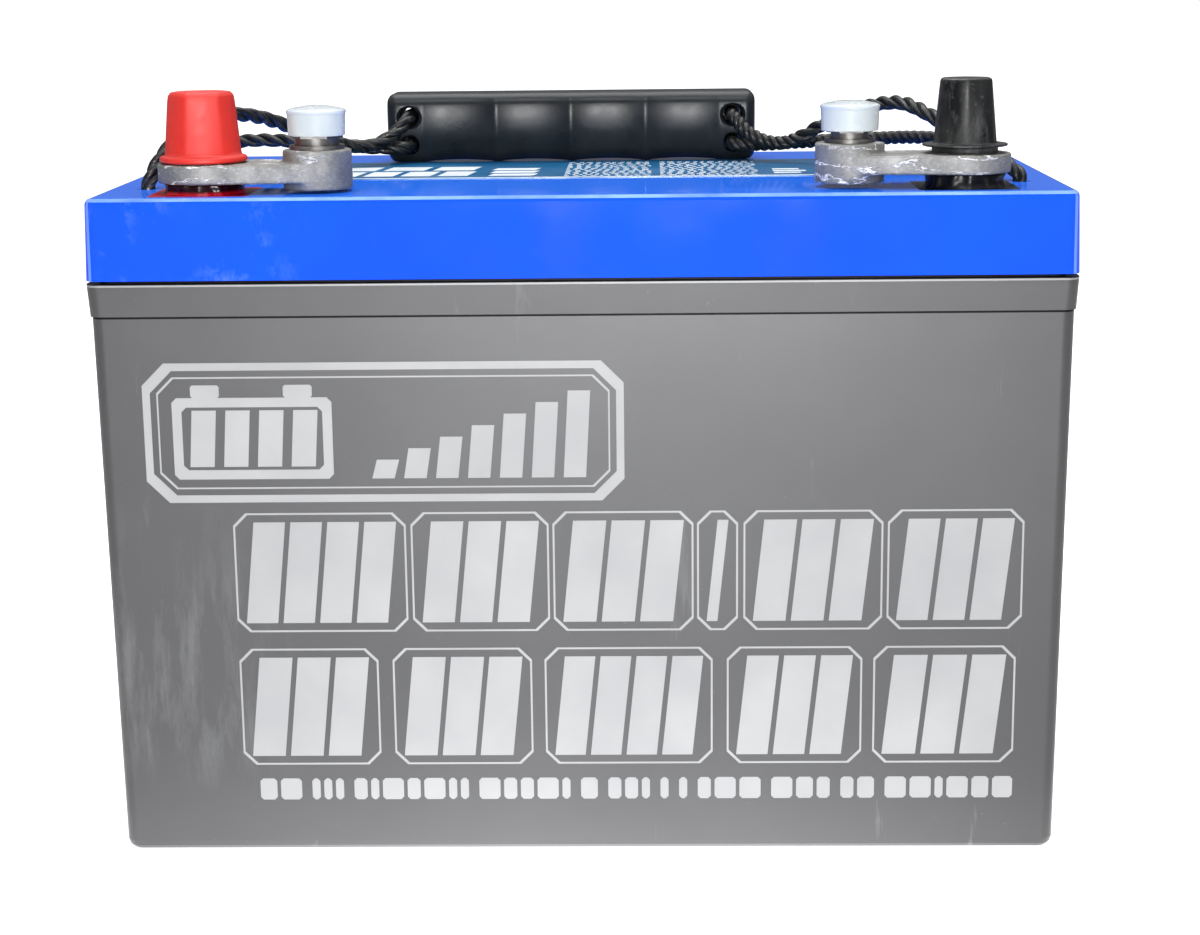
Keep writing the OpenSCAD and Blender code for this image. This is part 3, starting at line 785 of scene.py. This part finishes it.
def threaded_stud(pole, radius, pitch):
    """The stud with its thread, from the CAD stud's own foot to its tip."""
    low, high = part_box(f"{pole}_stud")
    x, y = (low.x + high.x) / 2, (low.y + high.y) / 2
    length = (high.z - low.z) / MM
    sides, rows = 36, int(length / 0.16)
    verts, faces = [], []
    for i in range(rows + 1):
        z = length * i / rows
        chamfer = max(0.0, z - (length - 0.9))
        for k in range(sides):
            f = (z / pitch - k / sides) % 1.0
            depth = 0.62 * pitch * abs(2 * f - 1) * 0.85
            r = min(radius - depth, radius - chamfer)
            a = 2 * math.pi * k / sides
            verts.append((x + r * MM * math.cos(a), y + r * MM * math.sin(a), low.z + z * MM))
    for i in range(rows):
        for k in range(sides):
            n = (k + 1) % sides
            faces.append((i * sides + k, i * sides + n, (i + 1) * sides + n, (i + 1) * sides + k))
    faces.append(tuple(range(sides)))
    faces.append(tuple(rows * sides + k for k in range(sides)))
    stud = new_object(f"{pole}_stud_thread", verts, faces)
    shade_smooth(stud, 50)
    finish_piece(stud, "battery", MATERIALS["steel"], "steel", f"{pole}_stud")


def facets(count, share, fade_low, phase):
    """Radius factor that turns a round section into soft flats above a height."""
    def factor(angle, z):
        part = 2 * math.pi / count
        a = (angle + phase) % part - part / 2
        flat = math.cos(part / 2) / math.cos(a)
        k = share * max(0.0, min(1.0, (z - fade_low) / 2.5))
        return 1 - k * (1 - flat)
    return factor


def round_path(points, radius=0.35, steps=3):
    """A profile with each inner corner cut by a small arc."""
    result = [points[0]]
    for a, b, c in zip(points, points[1:], points[2:]):
        va, vc = Vector((a[0] - b[0], a[1] - b[1])), Vector((c[0] - b[0], c[1] - b[1]))
        ra, rc = min(radius, va.length / 2.2), min(radius, vc.length / 2.2)
        pa, pc = Vector(b) + va.normalized() * ra, Vector(b) + vc.normalized() * rc
        for k in range(steps + 1):
            t = k / steps
            q = pa * (1 - t) ** 2 + Vector(b) * 2 * t * (1 - t) + pc * t ** 2
            result.append((max(q.x, 0.0), q.y))
    result.append(points[-1])
    return result


def centre_of(node):
    low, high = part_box(node)
    return (low.x + high.x) / 2, (low.y + high.y) / 2


POSITIVE_CAP = [
    (0, 21.7), (7.6, 21.7), (8.4, 22.1), (9.3, 21.9), (10.2, 20.8), (10.5, 18.9), (11.9, 3.2), (12.1, 2.4),
    (13.4, 2.1), (13.7, 1.4), (13.7, 0.7), (12.8, 0.2), (10.7, 0.2), (10.4, 3), (9.3, 20.7), (0, 20.7)]
NEGATIVE_CAP = [
    (0, 23), (7.7, 23), (8.5, 22.6), (8.75, 21.8), (9.8, 3.2), (10.1, 2.9), (13.2, 2.8), (13.2, 2.1),
    (10.2, 1.8), (10.3, 0.2), (9.2, 0.2), (8.95, 2), (8.05, 18), (7.5, 21.7), (0, 21.7)]


def build_post_cap(pole, profile, factor):
    node = f"{pole}_post_cap"
    x, y = centre_of(node)
    top = max(z for _, z in profile)
    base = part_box(node)[1].z - top * MM
    verts, faces = lathe(round_path(profile), 96, (x, y, base), factor)
    cap = new_object(f"{pole}_cap_moulded", verts, faces)
    shade_smooth(cap, 60)
    colour = "red_vinyl" if pole == "positive" else "black_vinyl"
    finish_piece(cap, node, MATERIALS[colour], colour, node)


def build_drips(pole):
    """Runs of resin that set on the column under the lug."""
    node = f"{pole}_seal"
    x, y = centre_of(node)
    height = (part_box(node)[1].z - LID_TOP) / MM
    profile = [
        (12.7, 0.02), (12.4, 0.5), (12.1, 1.1), (12.05, height * 0.6), (12.3, height - 0.4),
        (12.1, height - 0.02), (11, height - 0.02), (11, 0.02)]
    def runs(angle, z):
        place = Vector((math.cos(angle), math.sin(angle), 0.05 * z)) * 4.5
        return 1 + 0.13 * max(0.0, noise.noise(place))
    verts, faces = lathe(profile + profile[:1], 96, (x, y, LID_TOP), runs)
    drips = new_object(f"{pole}_seal_drips", verts, faces)
    shade_smooth(drips, 60)
    epoxy = "red_epoxy" if pole == "positive" else "black_epoxy"
    finish_piece(drips, "battery", MATERIALS[epoxy], epoxy)


def build_nut_cap(pole):
    """Soft cap with a lip; its edge is a little wavy, as such caps are when they are pressed on."""
    node = f"{pole}_nut_cap"
    x, y = centre_of(node)
    low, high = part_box(node)
    height = (high.z - low.z) / MM
    lip = height - 1.2
    profile = [
        (0, height), (4, height - 0.2), (7, height - 0.75), (8.7, lip + 0.05), (9.35, lip - 0.35),
        (9.35, lip - 1.0), (9.1, lip - 1.5), (8.9, 0.3), (8.75, 0.02), (8.5, 0.1), (8.3, 0.6),
        (8.3, lip - 0.9), (7, lip - 0.4), (4, lip + 0.1), (0, lip + 0.2)]
    def wavy(angle, z):
        return 1 - 0.006 * (1 + math.sin(3 * angle + z * 0.4)) / 2
    verts, faces = lathe(round_path(profile, 0.25), 72, (x, y, low.z), wavy)
    cap = new_object(f"{pole}_nut_cap_moulded", verts, faces)
    shade_smooth(cap, 60)
    finish_piece(cap, node, MATERIALS["clear_vinyl"], "clear_vinyl", node)


for pole, stud_r, pitch in (("positive", 4.7, 1.5875), ("negative", 3.92, 1.411)):
    cast_lug(pole)
    threaded_stud(pole, stud_r, pitch)
    build_nut_cap(pole)
    build_drips(pole)
build_post_cap("positive", POSITIVE_CAP, facets(6, 0.55, 2.2, math.radians(-12)))
build_post_cap("negative", NEGATIVE_CAP, facets(6, 0.6, 3.4, math.radians(35)))


# Printed shapes --------------------------------------------------------------------------

def cut_corners(a0, a1, b0, b1, cut):
    """Outline of a rectangle with its corners cut off."""
    return [(a0 + cut, b0), (a1 - cut, b0), (a1, b0 + cut), (a1, b1 - cut),
            (a1 - cut, b1), (a0 + cut, b1), (a0, b1 - cut), (a0, b0 + cut)]


class Print:
    """Flat printed shapes, all in one mesh. place turns (across, up, off) in mm into a point."""

    def __init__(self, place, thickness=0.06):
        self.place, self.thickness = place, thickness
        self.verts, self.faces = [], []

    def shape(self, outline):
        start, n = len(self.verts), len(outline)
        for off in (0.0, self.thickness):
            for a, b in outline:
                self.verts.append(self.place(a, b, off))
        self.faces.append(tuple(start + k for k in range(n)))
        self.faces.append(tuple(start + n + k for k in range(n)))
        for k in range(n):
            m = (k + 1) % n
            self.faces.append((start + k, start + m, start + n + m, start + n + k))

    def bar(self, a0, a1, b0, b1, slant=0.0):
        """A rectangle, or a slanted one whose top is moved sideways."""
        self.shape([(a0, b0), (a1, b0), (a1 + slant, b1), (a0 + slant, b1)])

    def block(self, a0, a1, b0, b1, cut):
        self.shape(cut_corners(a0, a1, b0, b1, cut))

    def frame(self, a0, a1, b0, b1, width, cut):
        """An outline with cut corners, in eight strips."""
        outer = cut_corners(a0, a1, b0, b1, cut)
        inner = cut_corners(a0 + width, a1 - width, b0 + width, b1 - width, cut)
        for i in range(8):
            j = (i + 1) % 8
            self.shape([outer[i], outer[j], inner[j], inner[i]])

    def build(self, name, body, material, slot):
        obj = new_object(name, self.verts, self.faces, False)
        finish_piece(obj, body, material, slot)
        return obj


CASE_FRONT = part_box("case")[0].y
FACE_TOP = COLLAR_LOW / MM   # under the collar the face leans in
FACE_TOP_INSET, FACE_FOOT_INSET, FACE_FOOT = 1.1, 2.8, 3.5


def on_front(a, b, off):
    """A point on the case's leaning front face, b mm above the base."""
    share = (FACE_TOP - b) / (FACE_TOP - FACE_FOOT)
    inset = FACE_TOP_INSET + (FACE_FOOT_INSET - FACE_TOP_INSET) * share
    return Vector((a * MM, CASE_FRONT + (inset - off) * MM, b * MM))


def print_front():
    """A generic energy badge over two rows of slanted bars and a fine row, in place of lettering."""
    art = Print(on_front)
    # Badge: a battery pictogram with a charge gauge, in a double outline
    art.frame(-137, 13, 116.5, 161, 2.4, 7)
    art.frame(-132.6, 8.6, 120.9, 156.6, 0.5, 5)
    art.frame(-128, -78, 124, 150, 3, 1.5)
    art.block(-122, -113, 150, 154, 0.6)
    art.block(-93, -84, 150, 154, 0.6)
    for k in range(4):
        art.bar(-123 + 10.6 * k, -115.4 + 10.6 * k, 128, 146, 1.2)
    for k in range(7):
        height = 6 + 3.6 * k
        art.bar(-66 + 10 * k, -59 + 10 * k, 124, 124 + height, 1.6)
    # Two rows of outlined blocks, each filled with slanted bars
    rows = [
        (74, 113, [(-110.5, -56), (-54.5, -11), (-9.8, 34.5), (35.6, 48.5), (50.2, 94), (95.4, 138)]),
        (29.5, 68.5, [(-110.5, -66), (-61.5, -17), (-13, 40.5), (45, 88), (91.5, 136.5)])]
    for b0, b1, blocks in rows:
        for a0, a1 in blocks:
            art.frame(a0, a1, b0, b1, 0.6, 4)
            inner0, inner1 = a0 + 3, a1 - 3
            slant, gap = 3.5, 1.7
            count = max(1, round((inner1 - inner0 - slant) / 10.5))
            width = (inner1 - inner0 - slant - gap * (count - 1)) / count
            for k in range(count):
                start = inner0 + k * (width + gap)
                art.bar(start, start + width, b0 + 3, b1 - 3, slant)
    # Fine row
    rng = random.Random(7)
    a = -105.5
    while a < 133:
        width = rng.choice((2.6, 4.2, 5.4, 6.8))
        art.block(a, min(a + width, 136.5), 17.6, 24.8, 0.9)
        a += width + rng.choice((1.2, 1.2, 3.4))
    art.build("front_print", "battery", MATERIALS["label_print"], "label_print")


print_front()

LABEL_LOW, LABEL_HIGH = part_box("top_label")


def on_label(a, b, off):
    return Vector((a * MM, b * MM, LABEL_HIGH.z + off * MM))


def print_label():
    """A pale border, large blocks at the left and rows of fine dashes, in place of lettering."""
    art = Print(on_label, 0.03)
    low, high = LABEL_LOW / MM, LABEL_HIGH / MM
    art.bar(low.x + 0.6, high.x - 0.6, low.y + 0.5, low.y + 2.1)
    for k in range(4):
        art.bar(-87 + 12.5 * k, -77 + 12.5 * k, -14, 3, 2)
    for k in range(3):
        art.bar(-87 + 17 * k, -73 + 17 * k, 8, 22, 2)
    for k in range(3):
        art.bar(-32.5, -17.5, -15 + 11 * k, -7.5 + 11 * k, 1.5)
    rng = random.Random(11)
    b = -18.5
    while b < 36:
        for a0, a1 in ((-7, 22), (25, 58)):
            a = a0
            while a < a1 - 1:
                width = min(rng.uniform(0.8, 2.4), a1 - a)
                art.bar(a, a + width, b, b + rng.uniform(1.2, 1.9))
                a += width + rng.uniform(0.9, 1.8)
        b += 4.1
    for k in range(3):
        art.bar(63, 72 + 2 * (k % 2), -14 + 7 * k, -10 + 7 * k)
    art.build("label_print_marks", "battery", MATERIALS["label_ink"], "label_print")


print_label()


# CAD pieces that keep their shape --------------------------------------------------------

KEPT = {
    "case": "case_plastic", "lid": "lid_plastic", "vent_cover": "lid_plastic",
    "vent_valves": "valve_rubber", "top_label": "label_film",
    "positive_seal": "red_epoxy", "negative_seal": "black_epoxy",
    "positive_straps": "lead", "negative_straps": "lead", "intercell_welds": "lead",
}
for pole in ("positive", "negative"):
    for part in ("bushing", "riser"):
        KEPT[f"{pole}_{part}"] = "lead"
    for part in ("flat_washer", "lock_washer", "nut"):
        KEPT[f"{pole}_{part}"] = "steel"
for i in range(1, 7):
    KEPT[f"positive_plates_{i}"] = "positive_paste"
    KEPT[f"negative_plates_{i}"] = "negative_paste"
    KEPT[f"separators_{i}"] = "glass_mat"
BEVELS = {"lid": 0.35, "case": 0.35, "positive_seal": 0.3, "negative_seal": 0.3, "vent_cover": 0.3,
          "positive_nut": 0.3, "negative_nut": 0.3, "positive_flat_washer": 0.2,
          "negative_flat_washer": 0.2, "positive_lock_washer": 0.35, "negative_lock_washer": 0.35}

for name, slot_name in KEPT.items():
    obj = nodes[name]
    if obj.hide_render:
        continue
    for index in range(max(1, len(obj.data.materials))):
        if index < len(obj.data.materials):
            obj.data.materials[index] = MATERIALS[slot_name]
        else:
            obj.data.materials.append(MATERIALS[slot_name])
    shade_smooth(obj, 30)
    if name in BEVELS:
        bevel = obj.modifiers.new("edge", "BEVEL")
        bevel.width, bevel.segments = BEVELS[name] * MM, 2
        bevel.limit_method, bevel.angle_limit = "ANGLE", math.radians(40)
        bevel.harden_normals = False


# Floor and light -------------------------------------------------------------------------

def build_floor():
    """White all over to look at. The light it gives fades away from the battery, as on a lit table."""
    s = Shader("floor_white", srgb(225, 225, 225), 0.6)
    s.drive("Base Color", s.mix(s.fit(s.noise(3, 2), 0.3, 0.7), srgb(228, 228, 228), srgb(222, 222, 222)))
    s.set("Emission Color", (1, 1, 1, 1))
    reach = s.node("ShaderNodeVectorMath", operation="LENGTH")
    s.link(s.space((0.9, 1, 1)), reach.inputs[0])
    given = s.fit(reach.outputs["Value"], 0.09, 0.22, 3.0, 0.06)
    path = s.node("ShaderNodeLightPath")
    seen = s.node("ShaderNodeMix")
    seen.inputs[3].default_value = 0.8
    s.link(path.outputs["Is Camera Ray"], seen.inputs[0])
    s.link(given, seen.inputs[2])
    s.drive("Emission Strength", seen.outputs[0])
    size = 6.0
    floor = new_object("floor", [(-size, -size, 0), (size, -size, 0), (size, size, 0), (-size, size, 0)],
                       [(0, 1, 2, 3)], False)
    floor.data.materials.append(s.mat)


def area_light(name, place, target, size, power, colour=(1, 1, 1)):
    data = bpy.data.lights.new(name, "AREA")
    data.shape, data.size, data.size_y = "RECTANGLE", size[0], size[1]
    data.energy, data.color = power, colour
    light = bpy.data.objects.new(name, data)
    bpy.context.scene.collection.objects.link(light)
    light.location = place
    light.rotation_euler = (Vector(target) - Vector(place)).to_track_quat("-Z", "Y").to_euler()
    return light


def studio_world(low, high, backdrop):
    """A white backdrop to look at; the light it gives grows from the horizon up to overhead."""
    world = bpy.data.worlds.new("studio")
    world.use_nodes = True
    tree = world.node_tree
    background = tree.nodes["Background"]
    background.inputs[0].default_value = (1, 1, 1, 1)
    coord = tree.nodes.new("ShaderNodeTexCoord")
    axes = tree.nodes.new("ShaderNodeSeparateXYZ")
    rise = tree.nodes.new("ShaderNodeMapRange")
    rise.interpolation_type = "SMOOTHSTEP"
    for name, value in (("From Min", 0.1), ("From Max", 0.8), ("To Min", low), ("To Max", high)):
        rise.inputs[name].default_value = value
    path = tree.nodes.new("ShaderNodeLightPath")
    seen = tree.nodes.new("ShaderNodeMix")
    seen.inputs[3].default_value = backdrop
    tree.links.new(coord.outputs["Generated"], axes.inputs[0])
    tree.links.new(axes.outputs["Z"], rise.inputs["Value"])
    tree.links.new(path.outputs["Is Camera Ray"], seen.inputs[0])
    tree.links.new(rise.outputs["Result"], seen.inputs[2])
    tree.links.new(seen.outputs[0], background.inputs[1])
    bpy.context.scene.world = world


build_floor()
studio_world(low=0.12, high=0.9, backdrop=1.0)
bpy.context.scene.view_settings.view_transform = "Standard"
area_light("flash", (0.02, -0.95, 0.3), (0.0, 0, 0.17), (0.26, 0.2), 8.8)
area_light("softbox", (0.0, -0.45, 1.0), (0, -0.05, 0.2), (0.5, 0.3), 2.5)
area_light("top", (0.0, 0.3, 1.5), (0, 0, 0.1), (1.2, 0.9), 20)
